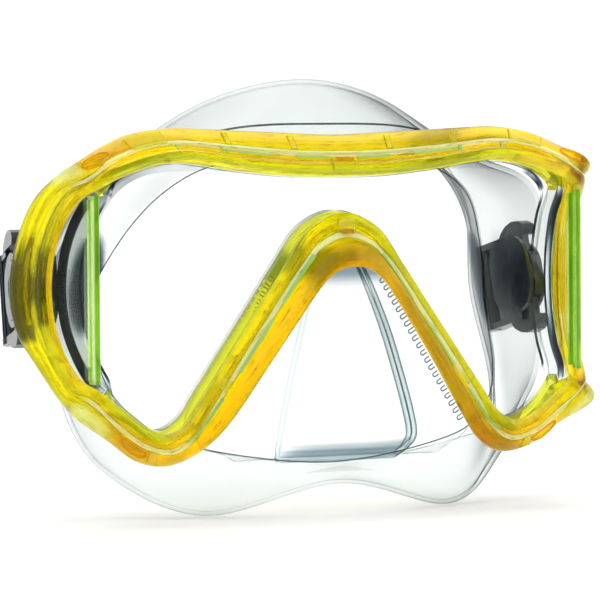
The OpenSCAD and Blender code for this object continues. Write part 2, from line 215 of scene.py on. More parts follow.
def mesh_piece(name, verts, faces, body, material, replaces=(), slot=None, smooth=40, layers=None):
    """A piece from points in lens millimetres and faces, with named numbers at its points.

    Points are kept inside the CAD's box, which the finer curves could pass by a few hundredths."""
    mesh = bpy.data.meshes.new(name)
    points = np.clip(lens_to_row(verts), box_before[0], box_before[1])
    mesh.from_pydata([tuple(v) for v in points], [], [tuple(f) for f in faces])
    mesh.update()
    mesh.materials.append(material)
    for key, values in (layers or {}).items():
        layer = mesh.attributes.new(key, "FLOAT", "POINT")
        layer.data.foreach_set("value", np.asarray(values, np.float32).ravel())
    mesh.shade_smooth()
    mesh.set_sharp_from_angle(angle=math.radians(smooth))
    obj = bpy.data.objects.new(name, mesh)
    bpy.context.scene.collection.objects.link(obj)
    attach(obj, body)
    if replaces:
        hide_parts(*replaces)
    return obj


def tube_grid(rings, closed_ends=True):
    """Faces of a tube whose rings are rows of a grid.

    With closed_ends the last ring joins the first."""
    r, n = rings.shape[:2]
    faces = []
    for i in range(r if closed_ends else r - 1):
        j = (i + 1) % r
        for k in range(n):
            m = (k + 1) % n
            faces.append((i * n + k, i * n + m, j * n + m, j * n + k))
    return rings.reshape(-1, 3), faces


def rounded_rings(rings, radii):
    """Rounds a section's corners: each ring with a radius becomes three."""
    out, count = [], len(rings)
    for i, r in enumerate(radii):
        p = rings[i]
        if not r:
            out.append(p)
            continue
        ends = []
        for q in (rings[i - 1], rings[(i + 1) % count]):
            d = q - p
            length = np.maximum(np.linalg.norm(d, axis=1, keepdims=True), 1e-9)
            ends.append(p + d * np.minimum(r / length, 0.45))
        out += [ends[0], (ends[0] + 2 * p + ends[1]) / 4, ends[1]]
    return np.array(out)


def sweep(name, section, material, side_depth=1.0, **more):
    """A ring of the mask with that section: rows of part, mm across, mm in front, corner radius.

    Beside the side windows what lies behind the glass has only side_depth of its depth."""
    side = bell(STATION, SIDE_MIDDLE, SIDE_HALF, SIDE_SOFT)
    depth = (1 - (1 - side_depth) * side)[:, None]
    rings = np.array([frame_points(s[0], s[1], s[2] * depth if s[2] < 0 else s[2])
                      for s in section])
    rings = rounded_rings(rings, [s[3] for s in section])
    verts, faces = tube_grid(rings)
    inner, outer = INNER[:, :3], OUTER[:, :3]
    span = ((outer - inner) ** 2).sum(1)
    across = np.clip(((rings - inner) * (outer - inner)).sum(2) / span, 0, 1)
    outer_part = np.clip((across - 0.48) / 0.2, 0, 1)
    # Painted sheen: the outer part of the frame is paled at its corners, which look glassy edge on
    corners = 0.8 * (bell(STATION, 7.5, 0.4, 0.5) + bell(STATION, 15.2, 0.4, 0.6))
    recesses = 0.7 * (bell(STATION, 6, 0.7, 0.6) + bell(STATION, 16.8, 0.5, 0.6))
    nose = bell(STATION, HALF_TURN, 7, 2.5)
    deep = bell(STATION, 11.5, 4.5, 2.5)
    layers = {"across": across, "along": np.broadcast_to(STATION, across.shape),
              "warm": outer_part * np.maximum(nose, recesses), "pale": outer_part * corners,
              "side": np.broadcast_to(side, across.shape),
              "deep": np.broadcast_to(deep, across.shape)}
    return mesh_piece(name, verts, faces, "mask", material, layers=layers, **more)


def strip(name, start, stop, section, material, **more):
    """A short moulding along the frame, from one station to another, with closed ends.

    A negative station is the same place on the other side of the mask."""
    at = np.linspace(start, stop, max(4, int(abs(stop - start) * 12)))
    rings = np.array([at_stations(frame_points(*row), at) for row in section]).transpose(1, 0, 2)
    verts, faces = tube_grid(rings, closed_ends=False)
    count, last = len(section), (len(at) - 1) * len(section)
    faces += [tuple(range(count - 1, -1, -1)), tuple(range(last, last + count))]
    return mesh_piece(name, verts, outward(verts, faces), "mask", material, smooth=30, **more)


def outward(verts, faces):
    """The faces, turned over if they look inwards."""
    volume = 0.0
    for f in faces:
        for i in range(1, len(f) - 1):
            volume += np.dot(verts[f[0]], np.cross(verts[f[i]], verts[f[i + 1]]))
    return faces if volume > 0 else [tuple(reversed(f)) for f in faces]


def wire(name, path, radius, material, closed=False, sides=8, **more):
    """A round wire along a path of lens millimetres."""
    path = np.asarray(path, float)
    ahead, behind = np.roll(path, -1, 0), np.roll(path, 1, 0)
    if not closed:
        ahead[-1], behind[0] = path[-1], path[0]
    way = unit(ahead - behind)
    side = unit(np.cross(way, [0.1, 1.0, 0.05]))
    top = np.cross(side, way)
    a = np.linspace(0, 2 * math.pi, sides, endpoint=False)
    rings = path[:, None] + radius * (side[:, None] * np.cos(a)[:, None]
                                      + top[:, None] * np.sin(a)[:, None])
    verts, faces = tube_grid(rings, closed_ends=closed)
    if not closed:
        last = len(verts) - sides
        faces += [tuple(range(sides - 1, -1, -1)), tuple(range(last, last + sides))]
    return mesh_piece(name, verts, outward(verts, faces), "mask", material, smooth=70, **more)


def join_pieces(pieces, name):
    """Makes one object of several that ride on the same body."""
    keep = pieces[0]
    with bpy.context.temp_override(active_object=keep, object=keep, selected_objects=pieces,
                                   selected_editable_objects=pieces):
        bpy.ops.object.join()
    keep.name = keep.data.name = name
    return keep


# ---- materials ----
class Nodes:
    """A material's nodes, made and joined in short lines."""

    def __init__(self, name):
        self.material = bpy.data.materials.new(name)
        self.material.use_nodes = True
        self.tree = self.material.node_tree
        self.tree.nodes.clear()
        self.output = self.tree.nodes.new("ShaderNodeOutputMaterial")

    def add(self, kind, **values):
        """A node; each value sets an input by name, or a property written with a leading P_."""
        node = self.tree.nodes.new("ShaderNode" + kind)
        for key, value in values.items():
            if key.startswith("P_"):
                setattr(node, key[2:], value)
                continue
            self.put(value, node.inputs[key.replace("_", " ")])
        return node

    def join(self, out, socket):
        self.tree.links.new(out, socket)

    def put(self, value, socket):
        """Joins another node's output to the socket, or sets the socket to a plain value."""
        if hasattr(value, "is_output"):
            self.join(value, socket)
        else:
            socket.default_value = value

    def noise(self, scale, detail=3.0, rough=0.5):
        place = self.add("TexCoord")
        node = self.add("TexNoise", Scale=scale, Detail=detail, Roughness=rough)
        self.join(place.outputs["Object"], node.inputs["Vector"])
        return node.outputs["Fac"]

    def ramp(self, fac, *stops):
        node = self.tree.nodes.new("ShaderNodeValToRGB")
        self.join(fac, node.inputs["Fac"])
        band = node.color_ramp
        while len(band.elements) < len(stops):
            band.elements.new(0.5)
        for element, (place, colour) in zip(band.elements, stops):
            element.position = place
            element.color = (*colour, 1)
        return node.outputs["Color"]

    def spread(self, fac, low, high):
        node = self.add("MapRange", To_Min=low, To_Max=high)
        self.join(fac, node.inputs["Value"])
        return node.outputs["Result"]

    def bump(self, fac, strength, distance):
        node = self.add("Bump", Strength=strength, Distance=distance)
        self.join(fac, node.inputs["Height"])
        return node.outputs["Normal"]

    def layer(self, name):
        """The piece's own number at each point."""
        return self.add("Attribute", P_attribute_name=name).outputs["Fac"]

    def scaled(self, value, by):
        node = self.add("Math", P_operation="MULTIPLY")
        self.join(value, node.inputs[0])
        node.inputs[1].default_value = by
        return node.outputs[0]

    def mix(self, fac, first, second, kind="MIX"):
        """Two colours mixed; the factor and the second can be plain values."""
        node = self.add("Mix", P_data_type="RGBA", P_blend_type=kind)
        # A Mix node's colour sockets are its inputs 6 and 7 and its output 2
        for number, value in ((0, fac), (6, first), (7, second)):
            self.put(value, node.inputs[number])
        return node.outputs[2]

    def finish(self, surface, volume=None):
        self.join(surface, self.output.inputs["Surface"])
        if volume:
            self.join(volume, self.output.inputs["Volume"])
        return self.material


def tinted_plastic(name, low, high, absorb, density, rough=(0.04, 0.1), clear=0.85):
    """Clear moulded plastic that is deeper in colour where it is thicker."""
    m = Nodes(name)
    shade = m.noise(60, 2)
    surface = m.add("BsdfPrincipled", Transmission_Weight=clear, IOR=1.3, Specular_IOR_Level=0.3)
    m.join(m.ramp(shade, (0.3, low), (0.7, high)), surface.inputs["Base Color"])
    m.join(m.spread(m.noise(200, 3), *rough), surface.inputs["Roughness"])
    m.join(m.bump(m.noise(900, 2), 0.05, 0.0002), surface.inputs["Normal"])
    volume = m.add("VolumeAbsorption", Color=(*absorb, 1), Density=density)
    return m.finish(surface.outputs["BSDF"], volume.outputs["Volume"])


def banded_plastic(name, bands, side_bands, absorb, density):
    """Clear plastic moulded in bands: rows of place across the frame, colour and clearness.

    side_bands are the places and colours beside the side windows. A noise drawn out along the
    frame streaks it with painted shade lines and painted lime highlights, and the piece's own
    numbers warm it, and pale its corners with a painted sheen."""
    m = Nodes(name)
    across = m.layer("across")
    bend = m.add("MapRange", To_Min=-0.02, To_Max=0.02)
    m.join(m.noise(120, 2), bend.inputs["Value"])
    place = m.add("Math", P_operation="ADD")
    m.join(across, place.inputs[0])
    m.join(bend.outputs["Result"], place.inputs[1])
    colour = m.ramp(place.outputs[0], *((b[0], b[1]) for b in bands))
    clear = m.ramp(place.outputs[0], *((b[0], (b[2],) * 3) for b in bands))
    where = m.add("CombineXYZ")
    m.join(m.scaled(across, 26), where.inputs[0])
    m.join(m.scaled(m.layer("along"), 1.5), where.inputs[1])
    streak = m.add("TexNoise", Scale=1.2, Detail=6.0, Roughness=0.68)
    m.join(where.outputs[0], streak.inputs["Vector"])
    # Painted streaks: dark olive lines are painted shade of refraction, the lime top a painted
    # highlight
    shade = m.ramp(streak.outputs["Fac"], (0.36, (0.36, 0.3, 0.03)), (0.43, (1, 1, 1)),
                   (0.58, (1, 1, 1)), (0.68, (0.75, 0.95, 0.3)))
    side = m.scaled(m.layer("side"), 0.9)
    colour = m.mix(side, colour, m.ramp(place.outputs[0], *side_bands))
    clear = m.mix(side, clear, (0.94, 0.94, 0.94, 1))
    warmed = m.mix(m.layer("warm"), colour, (1.0, 0.66, 0.0, 1))
    # Painted sheen at the corners, by the piece's own pale number
    paled = m.mix(m.scaled(m.layer("pale"), 0.9), warmed, (0.88, 1.0, 0.5, 1))
    surface = m.add("BsdfPrincipled", IOR=1.3, Specular_IOR_Level=0.2)
    m.join(m.mix(1.0, paled, shade, "MULTIPLY"), surface.inputs["Base Color"])
    m.join(m.mix(m.layer("pale"), clear, (0.3, 0.3, 0.3, 1)),
           surface.inputs["Transmission Weight"])
    m.join(m.spread(m.noise(200, 3), 0.03, 0.08), surface.inputs["Roughness"])
    m.join(m.bump(streak.outputs["Fac"], 0.25, 0.0006), surface.inputs["Normal"])
    volume = m.add("VolumeAbsorption", Color=(*absorb, 1), Density=density)
    return m.finish(surface.outputs["BSDF"], volume.outputs["Volume"])


def divider_plastic(name):
    """Green plastic with pale edges, by the distance from the middle of the mask."""
    m = Nodes(name)
    place = m.add("TexCoord")
    parts = m.add("SeparateXYZ")
    m.join(place.outputs["Object"], parts.inputs[0])
    away = m.add("Math", P_operation="ABSOLUTE")
    m.join(parts.outputs[0], away.inputs[0])
    band = m.add("MapRange", From_Min=0.072, From_Max=0.077)
    m.join(away.outputs[0], band.inputs["Value"])
    colour = m.ramp(band.outputs[0], (0.29, (0.8, 0.97, 0.45)), (0.35, (0.25, 0.6, 0.01)),
                    (0.56, (0.36, 0.72, 0.02)), (0.6, (0.85, 1.0, 0.6)))
    solid = m.ramp(band.outputs[0], (0.22, (0.12,) * 3), (0.3, (1,) * 3), (0.64, (1,) * 3),
                   (0.7, (0.12,) * 3))
    tone = m.ramp(m.noise(110, 3), (0.35, (0.8, 0.88, 0.7)), (0.65, (1, 1, 1)))
    surface = m.add("BsdfPrincipled", Transmission_Weight=0.6, IOR=1.45)
    m.join(m.mix(1.0, colour, tone, "MULTIPLY"), surface.inputs["Base Color"])
    m.join(m.spread(m.noise(200, 3), 0.05, 0.12), surface.inputs["Roughness"])
    m.join(m.bump(m.noise(700, 2), 0.06, 0.0002), surface.inputs["Normal"])
    clear = m.add("BsdfTransparent", Color=(0.93, 0.98, 0.85, 1))
    both = m.add("MixShader")
    m.join(solid, both.inputs[0])
    m.join(clear.outputs[0], both.inputs[1])
    m.join(surface.outputs["BSDF"], both.inputs[2])
    return m.finish(both.outputs[0])


def clear_film(name, face, edge, power, haze, gloss, haze_colour, rough, deep=None, shade=None):
    """Clear material drawn as a film: light passes, less of it where the wall is seen edge on.

    deep is the colours, by how edge on the wall is, where the piece's own deep number is 1, and
    shade the colour of painted shade where its own shade number is 1."""
    m = Nodes(name)
    weight = m.add("LayerWeight", Blend=0.5)
    steep = m.add("Math", P_operation="POWER")
    m.join(weight.outputs["Facing"], steep.inputs[0])
    steep.inputs[1].default_value = power
    clear = m.add("BsdfTransparent")
    colour = m.ramp(steep.outputs[0], (0.0, face), (1.0, edge))
    if deep:
        colour = m.mix(m.layer("deep"), colour, m.ramp(weight.outputs["Facing"], *deep))
    # Painted shade where the piece's own shade number is 1
    if shade:
        colour = m.mix(m.layer("shade"), colour, (*shade, 1))
    m.join(colour, clear.inputs["Color"])
    milky = m.add("BsdfPrincipled", Roughness=rough)
    tone = m.noise(90, 3)
    m.join(m.ramp(tone, (0.3, tuple(0.96 * c for c in haze_colour)), (0.7, haze_colour)),
           milky.inputs["Base Color"])
    m.join(m.bump(m.noise(700, 2), 0.04, 0.0002), milky.inputs["Normal"])
    body = m.add("MixShader")
    m.join(m.spread(tone, haze * 0.8, haze * 1.2), body.inputs[0])
    m.join(clear.outputs[0], body.inputs[1])
    m.join(milky.outputs[0], body.inputs[2])
    shine = m.add("BsdfGlossy", Color=(1, 1, 1, 1), Roughness=rough)
    m.join(m.bump(m.noise(500, 2), 0.03, 0.0002), shine.inputs["Normal"])
    mirror = m.add("Math", P_operation="POWER")
    m.join(weight.outputs["Facing"], mirror.inputs[0])
    mirror.inputs[1].default_value = 5
    amount = m.add("Math", P_operation="MULTIPLY_ADD")
    m.join(mirror.outputs[0], amount.inputs[0])
    amount.inputs[1].default_value = gloss
    amount.inputs[2].default_value = 0.006
    top = m.add("MixShader")
    m.join(amount.outputs[0], top.inputs[0])
    m.join(body.outputs[0], top.inputs[1])
    m.join(shine.outputs[0], top.inputs[2])
    return m.finish(top.outputs[0])


def moulded_plastic(name, dark, light, rough, coat=0.0):
    """Opaque moulded plastic with faint mottling and a fine grain."""
    m = Nodes(name)
    surface = m.add("BsdfPrincipled", IOR=1.5, Coat_Weight=coat, Coat_Roughness=0.15)
    m.join(m.ramp(m.noise(45, 4, 0.6), (0.3, dark), (0.7, light)), surface.inputs["Base Color"])
    m.join(m.spread(m.noise(260, 3), *rough), surface.inputs["Roughness"])
    m.join(m.bump(m.noise(1500, 2), 0.12, 0.0002), surface.inputs["Normal"])
    return m.finish(surface.outputs["BSDF"])


def steel(name, dark, light):
    """Turned steel, with fine variation in colour and gloss."""
    m = Nodes(name)
    surface = m.add("BsdfPrincipled", Metallic=1.0, Anisotropic=0.4)
    m.join(m.ramp(m.noise(300, 3), (0.3, dark), (0.7, light)), surface.inputs["Base Color"])
    m.join(m.spread(m.noise(900, 4), 0.2, 0.34), surface.inputs["Roughness"])
    m.join(m.bump(m.noise(2500, 2), 0.08, 0.0001), surface.inputs["Normal"])
    return m.finish(surface.outputs["BSDF"])


# The thin dark bands in both lists are painted shade lines along the steps and edges of the
# mouldings; the pale lime at the inner edge and the pale band over the groove are partly the clear
# plastic and partly painted highlight.
YELLOW = banded_plastic(
    "frame_yellow",
    [(0.0, (0.9, 1.0, 0.3), 0.85), (0.05, (1.0, 0.99, 0.0), 0.95), (0.2, (1.0, 0.96, 0.0), 0.95),
     (0.215, (0.7, 0.56, 0.0), 0.95), (0.23, (1.0, 0.96, 0.0), 0.95),
     (0.32, (1.0, 0.94, 0.0), 0.95), (0.337, (0.5, 0.5, 0.03), 0.9),
     (0.36, (0.95, 1.0, 0.75), 0.45), (0.455, (0.95, 1.0, 0.68), 0.45),
     (0.472, (0.34, 0.5, 0.06), 0.8), (0.49, (1.0, 0.88, 0.0), 0.95),
     (0.7, (1.0, 0.8, 0.0), 0.95), (0.715, (0.72, 0.42, 0.0), 0.95),
     (0.73, (1.0, 0.8, 0.0), 0.95), (0.9, (1.0, 0.76, 0.0), 0.95),
     (0.985, (0.75, 0.5, 0.0), 0.93)],
    [(0.0, (0.9, 0.8, 0.0)), (0.08, (1.0, 0.99, 0.0)), (0.27, (1.0, 0.97, 0.0)),
     (0.31, (0.34, 0.34, 0.01)), (0.36, (1.0, 0.98, 0.0)), (0.52, (0.93, 0.88, 0.0)),
     (0.58, (0.42, 0.42, 0.02)), (0.64, (0.95, 0.93, 0.0)), (0.82, (0.9, 0.95, 0.08)),
     (0.9, (0.36, 0.38, 0.02)), (0.96, (0.9, 0.85, 0.02))],
    (1.0, 0.985, 0.0), 1700)
PALE = tinted_plastic("frame_pale", (0.97, 1.0, 0.2), (1.0, 1.0, 0.3), (0.99, 0.985, 0.0), 450)
ORANGE = tinted_plastic("frame_orange", (1.0, 0.62, 0.0), (1.0, 0.72, 0.01), (1.0, 0.8, 0.0), 500)
LIME = divider_plastic("divider_lime")
SLIVER = tinted_plastic("frame_green", (0.5, 0.8, 0.25), (0.66, 0.9, 0.4), (0.8, 1.0, 0.3), 200,
                        clear=0.5)
GLASS = clear_film("toughened_glass", (0.995, 0.998, 0.997), (0.55, 0.68, 0.64), 5, 0.002, 0.4,
                   (0.9, 0.95, 0.95), 0.02)
# shade: the colour of painted shade over the buckle mounts and under the frame's arch
SILICONE = clear_film(
    "clear_silicone", (0.935, 0.948, 0.942), (0.02, 0.035, 0.045), 4.0, 0.006, 0.2,
    (0.93, 0.95, 0.96), 0.16,
    deep=((0.52, (0.935, 0.948, 0.942)), (0.6, (0.72, 0.78, 0.8)), (0.75, (0.42, 0.5, 0.53)),
          (0.95, (0.04, 0.06, 0.07))),
    shade=(0.38, 0.46, 0.5))
# shade: the colour of painted shade over the buckle mounts
SOFT = clear_film("soft_silicone", (0.96, 0.97, 0.967), (0.05, 0.07, 0.08), 4.2, 0.006, 0.2,
                  (0.94, 0.96, 0.97), 0.2, shade=(0.2, 0.25, 0.28))
# Grey film for thin lines of silicone: its grey is painted shade along the crease, the seal's edge
# and the ribs
LINE = clear_film("silicone_line", (0.42, 0.47, 0.5), (0.05, 0.07, 0.09), 1.2, 0.01, 0.2,
                  (0.5, 0.55, 0.6), 0.2)
JOINT = clear_film("silicone_joint", (0.93, 0.95, 0.96), (0.02, 0.03, 0.04), 4, 0.008, 0.3,
                   (0.5, 0.55, 0.6), 0.12,
                   deep=((0.03, (0.92, 0.94, 0.95)), (0.12, (0.5, 0.56, 0.6)),
                         (0.2, (0.16, 0.2, 0.23)), (0.9, (0.06, 0.08, 0.1))))
SMOKE = moulded_plastic("smoke_plastic", (0.01, 0.017, 0.024), (0.03, 0.043, 0.055), (0.14, 0.26),
                        0.3)
STEEL = steel("pin_steel", (0.5, 0.51, 0.53), (0.66, 0.67, 0.69))
DARK_STEEL = steel("pivot_steel", (0.05, 0.055, 0.06), (0.09, 0.095, 0.1))


# ---- frame ----
# rows of: part of the width, mm across, mm in front of the glass, corner radius
RAIL = [
    (0, 0, 0.05, 0), (0, 0, 1.2, 0.3), (0, 0.7, 2.2, 0.3), (0, 1.6, 2.8, 0.4), (0, 3.1, 2.85, 0.4),
    (0, 4.0, 1.9, 0.5), (0.5, 0, 1.7, 0.5), (0.56, 0, 2.9, 0.5), (0.76, 0, 3.1, 0.8),
    (1, -1.3, 2.5, 0.7), (1, -0.05, 1.2, 0.5), (1, 0, -0.6, 0.4), (1, -1.5, -1.6, 0.5),
    (0, 6.2, -2.2, 0.4), (0, 4.7, -4.0, 0.4), (0, 4.7, -7.6, 0.3), (0, 2.7, -7.6, 0.3),
    (0, 2.7, 0.05, 0)]
sweep("outer_frame_moulding", RAIL, YELLOW, side_depth=0.28, replaces=["outer_frame"],
      slot="frame_yellow")
INNER_FRONT = -GLASS_T - 1.75
INNER_BACK = -7.6
# Between the yellow and the clear parts of the ring, so that they don't touch
RING_GAP = 0.02
# The ring behind the glass: yellow over the front window, clear silicone over the side windows
RING = [(0, -0.3, INNER_FRONT), (0, 2.3, INNER_FRONT), (0, 2.3, INNER_BACK),
        (0, -0.3, INNER_BACK)]
ring = join_pieces([
    strip("ring_top", -SIDE_START, SIDE_START, RING, PALE),
    strip("ring_low", SIDE_STOP, 2 * HALF_TURN - SIDE_STOP, RING, PALE),
    strip("ring_left", -SIDE_START - RING_GAP, -SIDE_STOP + RING_GAP, RING, SILICONE),
    strip("ring_right", SIDE_START + RING_GAP, SIDE_STOP - RING_GAP, RING, SILICONE)],
    "inner_frame_ring")
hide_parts("inner_frame")

OVAL_POINTS = 28
OVAL_HALF = 0.42
for name, sign in SIDES.items():
    # Clips over the outer rail, and steps beside the bend
    for i, (start, stop, low, high) in enumerate((
            (0.95, 1.06, 0.6, 0.92), (2.34, 2.46, 0.6, 0.92), (4.3, 5.3, 0.6, 0.94),
            (17.2, 17.5, 0.6, 0.92), (20.3, 20.5, 0.1, 0.4))):
        front = (2.2, 3.45) if low > 0.5 else (2, 3.2)
        strip(f"{name}_clip_{i}", sign * start, sign * stop,
              [(low, 0, front[0]), (low, 0, front[1]), (high, 0, front[1] - 0.2),
               (high, 0, front[0] - 0.2)], PALE, slot="frame_pale")
    # Green bars and slivers that show in the groove
    for i, (start, stop, low, high) in enumerate((
            (4.02, 4.1, 0.36, 0.56), (2.56, 2.64, 0.36, 0.56), (1.5, 2.5, 0.42, 0.48),
            (0.3, 1.0, 0.42, 0.48), (18.6, 20.2, 0.4, 0.47), (20.7, 21.8, 0.4, 0.48),
            (22.2, 23.6, 0.4, 0.47))):
        strip(f"{name}_sliver_{i}", sign * start, sign * stop,
              [(low, 0, 1.4), (low, 0, 2.3), (high, 0, 2.3), (high, 0, 1.4)], SLIVER,
              slot="divider_green")
    # Oval recesses in the outer rail at the bends
    for i, middle in enumerate((6.4, 16.7)):
        path = []
        for k in range(OVAL_POINTS):
            a = 2 * math.pi * k / OVAL_POINTS
            row = frame_points(0.76 + 0.13 * math.sin(a), 0, 2.75)
            path.append(at_stations(row, sign * (middle + OVAL_HALF * math.cos(a))))
        wire(f"{name}_oval_{i}", path, 0.42, ORANGE, closed=True, slot="frame_yellow")
# Trapezoid clips at the middle of the top rail and over the nose
for name, middle, low, high in (("top", 0, 0.14, 0.42), ("nose", HALF_TURN, 0.1, 0.36)):
    for part, (wide, first, last, front, material) in enumerate((
            (0.27, low, high, 3.1, PALE), (0.17, high - 0.06, high + 0.02, 3.4, ORANGE))):
        strip(f"{name}_trapezoid_{part}", middle - wide, middle + wide,
              [(first, 0, 1.6), (first, 0, front), (last, 0, front), (last, 0, 1.6)],
              material, slot="frame_pale")

# ---- skirt ----
# Its outlines from the window back, top middle round to the nose: X, depth behind the glass, Z
SKIRT_FRONT = [[0, 8.6, 35], [30, 8.6, 36.5], [56, 9, 36.5], [68.6, 11, 26], [71, 20, 4],
               [69, 12, -17], [61, 9, -32], [45, 9.9, -40], [0, 5.5, -45]]
SKIRT_MID = [[0, 13, 49], [28, 14, 47.7], [50, 22, 40.5], [67.5, 32, 26], [71, 38, 3],
             [70, 31, -21], [63.5, 20, -41], [42, 10, -50], [0, 1, -47]]
SKIRT_CREST = [[0, 27, 61], [27, 31, 55.3], [48, 38, 41], [61, 44, 25], [68.4, 54, 0],
               [68.5, 41, -27], [61, 29, -47], [38.5, 11, -59.5], [0, 3, -51.5]]
SEAL_MID = [[0, 22.5, 50.5], [28, 25, 46], [46, 29.5, 34.5], [57.8, 37, 20], [65, 45.5, -1],
            [64, 34, -23.5], [58, 25.5, -39], [39, 15, -49.5], [0, 9, -48.5]]
SEAL_EDGE = [[0, 13.5, 39], [29, 14.5, 38.5], [47, 17.5, 30], [57.6, 28, 14], [62.5, 35, -3],
             [61.3, 27.5, -21], [55, 20.5, -32], [40, 14.5, -40.5], [0, 10, -46]]
SKIRT_T = 1.5
SEAL_T = 0.7
# Radius of the fold between skirt and seal
FOLD_R = 2.1
# Steps from one outline point to the next, and from one outline to the next
AROUND = 14
ALONG = 7


def skirt_rings():
    front, mid, crest, seal, edge = [
        spline(both_halves(r), AROUND)
        for r in (SKIRT_FRONT, SKIRT_MID, SKIRT_CREST, SEAL_MID, SEAL_EDGE)]
    out = unit(crest - (mid + seal) / 2)
    d = mid - seal
    side = unit(d - (d * out).sum(1, keepdims=True) * out)
    rows = [front, mid, crest - FOLD_R * out + FOLD_R * side, crest,
            crest - FOLD_R * out - FOLD_R * side, seal, edge]
    return spline(rows, ALONG, closed=False)


def surface_normals(grid):
    around = np.roll(grid, -1, 1) - np.roll(grid, 1, 1)
    along = np.gradient(grid, axis=0)
    return unit(np.cross(around, along))


def skirt_wall(rows):
    """Thickness of the skirt at each row of its grid, thinner towards the soft edge."""
    return SKIRT_T - (SKIRT_T - SEAL_T) * np.clip((rows - ALONG) / (5 * ALONG), 0, 1)


GRID = skirt_rings()
NORMALS = surface_normals(GRID)
CREST_ROW = 3 * ALONG
# Middle and half-size of a buckle mount's foot on the skirt, round which the skirt gets painted
# shade
MOUNT_PLACE = [62.5, 37, 5]
MOUNT_HALF = [9, 8, 15.5]


def skirt_band(name, first, last, material, **more):
    """A closed band of the skirt between two rows of its grid, with painted shade over the buckle
    mounts.
    """
    rows = np.arange(first, last + 1)
    wall = skirt_wall(rows.astype(float))[:, None, None]
    outside = GRID[rows]
    inside = outside - wall * NORMALS[rows]
    rings = np.concatenate([inside, outside[::-1]])
    verts, faces = tube_grid(rings)
    # Painted shade over each buckle mount's foot
    mount = np.stack([np.abs(verts[:, 0]), verts[:, 1], verts[:, 2]], 1) - MOUNT_PLACE
    shade = bell(np.linalg.norm(mount / MOUNT_HALF, axis=1), 0, 0.75, 0.35)
    return mesh_piece(name, verts, faces, "mask", material, smooth=60, layers={"shade": shade},
                      **more)


skirt_band("skirt_wall", 0, CREST_ROW, SILICONE, replaces=["skirt_body"], slot="silicone")
skirt_band("soft_seal", CREST_ROW, len(GRID) - 1, SOFT, replaces=["face_seal"],
           slot="soft_silicone")
FLANGE = -GLASS_T - 0.5
FLANGE_T = 1.1
sweep("skirt_flange", [(0, -0.6, FLANGE, 0.2), (0, 2.2, FLANGE, 0.2),
                       (0, 2.2, FLANGE - FLANGE_T, 0.2), (0, 0.5, FLANGE - FLANGE_T, 0.2),
                       (0, 0.5, -9, 0.2), (0, -0.6, -9, 0.2)],
      SILICONE, slot="silicone")
# The joints between the lip and the side of the skirt: first and last station, and section
JOINTS = {
    "joint": (7.6, 14.9, [(0, 0, -3.25), (0, 2.2, -3.25), (0, 2.2, -4.9), (0, 0, -4.9)]),
    "line": (7.8, 14.7, [(0, -0.6, -9.1), (0, -0.1, -9.1), (0, -0.1, -9.7), (0, -0.6, -9.7)]),
    "fold": (5.7, 7.5, [(0, -1.4, -9.2), (0, 0.2, -9.2), (0, 0.2, -10.2), (0, -1.2, -10.2)])}
for name, sign in SIDES.items():
    for part, (start, stop, section) in JOINTS.items():
        piece = strip(f"{name}_skirt_{part}", sign * start, sign * stop, section, JOINT,
                      slot="silicone")
        # Painted shade: dark along the middle, fading at its ends
        corners = len(section)
        place = np.linspace(-1, 1, len(piece.data.vertices) // corners).repeat(corners)
        layer = piece.data.attributes.new("deep", "FLOAT", "POINT")
        layer.data.foreach_set("value", bell(place, 0, 0.75, 0.25).astype(np.float32))
# The crease over the forehead runs between these grid points, counted from the top middle
CREASE_FIRST = -AROUND * 6 // 5
CREASE_LAST = AROUND * 6 // 5
TOP = np.arange(CREASE_FIRST, CREASE_LAST + 1) % len(GRID[0])
# A grey wire along the crease, in painted shade of the fold
wire("skirt_crease", GRID[ALONG][TOP] + 0.1 * NORMALS[ALONG][TOP], 0.28, LINE, slot="silicone")
wire("seal_bead", GRID[-1], 0.18, LINE, closed=True, slot="soft_silicone")

# ---- nose pocket: rows of height, panel half-width, pocket half-width, front depth, rim depth ----
POCKET_ROWS = [
    [21.5, 3.5, 1.5, 9.3, 9.4], [19.4, 7, 2.5, 8.6, 9.4], [15.5, 12, 4, 5, 9.4],
    [10, 17.4, 6, 1.4, 9.4], [3, 22.4, 8.5, -2, 9.4], [-8, 30, 12, -5.5, 9.4],
    [-20, 38.4, 15.5, -7, 9.4], [-32, 45, 18.5, -8.2, 9.2], [-38, 42.5, 19.5, -7.4, 8.4],
    [-41, 38.5, 19, -2.5, 7.4], [-42.6, 34, 18.2, 1.5, 6.6], [-44, 31, 17.5, 5, 6.6]]
POCKET_T = 1.4
POCKET_STEPS = 6


def pocket_line(row):
    """One level of the pocket, from one panel's edge across the nose to the other's."""
    z, panel, pocket, front, rim = row
    half = [[0, front, z], [pocket * 0.6, front + 0.4, z],
            [pocket * 0.98, front + 0.22 * (rim - front), z],
            [pocket + 0.04 * (panel - pocket), front + 0.62 * (rim - front), z],
            [pocket + 0.45 * (panel - pocket), rim - 0.9, z], [panel, rim, z]]
    whole = [mirrored(p) for p in half[:0:-1]] + half
    return spline(whole, POCKET_STEPS, closed=False)


